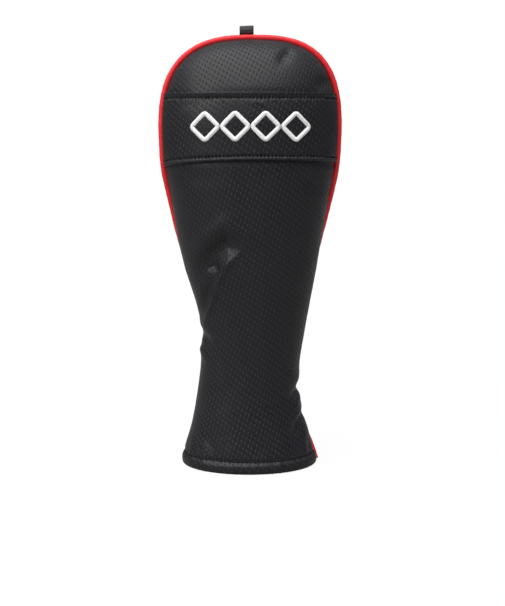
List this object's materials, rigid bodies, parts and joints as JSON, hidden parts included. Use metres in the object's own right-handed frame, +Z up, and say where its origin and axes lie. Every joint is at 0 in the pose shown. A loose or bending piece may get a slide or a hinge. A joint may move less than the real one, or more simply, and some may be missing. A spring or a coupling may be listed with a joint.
{
  "type": "golf club head cover",
  "caption": "Tall padded sleeve cover for a golf driver head: perforated black shell, red piping round the crown seam, embroidered band, open hem and a webbing pull loop.",
  "frame": {"origin": "ground plane at the centre of the hem's opening, where the cover stands", "axes": "+Z up towards the crown, front panel with band and emblem towards -Y, +X to the right seen from the front"},
  "size_m": [0.1456, 0.0898, 0.3488],
  "materials": {
    "perforated_leather": "satin perforated synthetic leather, near black",
    "back_leather": "satin smooth synthetic leather, near black",
    "piping_red": "satin red synthetic leather",
    "cord_white": "braided cotton filler cord",
    "foam": "open cell foam with knitted backing",
    "fleece": "brushed fleece lining",
    "elastic": "woven elastic",
    "backing": "stiff non-woven interlining",
    "webbing": "woven webbing",
    "black_thread": "twisted polyester thread",
    "white_thread": "satin stitched rayon thread",
    "label": "woven satin label, blank"
  },
  "bodies": {
    "cover": {"front_panel": "perforated_leather", "back_panel": "back_leather", "front_padding": "foam", "back_padding": "foam", "front_lining": "fleece", "back_lining": "fleece", "piping_cover": "piping_red", "piping_cord": "cord_white", "neck_elastic": "elastic", "band": "perforated_leather", "band_backing": "backing", "band_top_stitching": "black_thread", "band_bottom_stitching": "black_thread", "hem_stitching": "black_thread", "emblem": "white_thread", "loop_tail": "webbing", "care_label": "label"},
    "loop": {"pull_loop": "webbing", "loop_bar_tack": "black_thread"}
  },
  "joints": [
    {"name": "pull_loop_flex", "type": "hinge", "parent": "cover", "child": "loop", "pos_m": [-0.003, 0.0046, 0.3384], "axis": [1, 0, 0], "range_deg": [-70, 20], "stiffness_Nm_per_rad": 0.004}
  ]
}
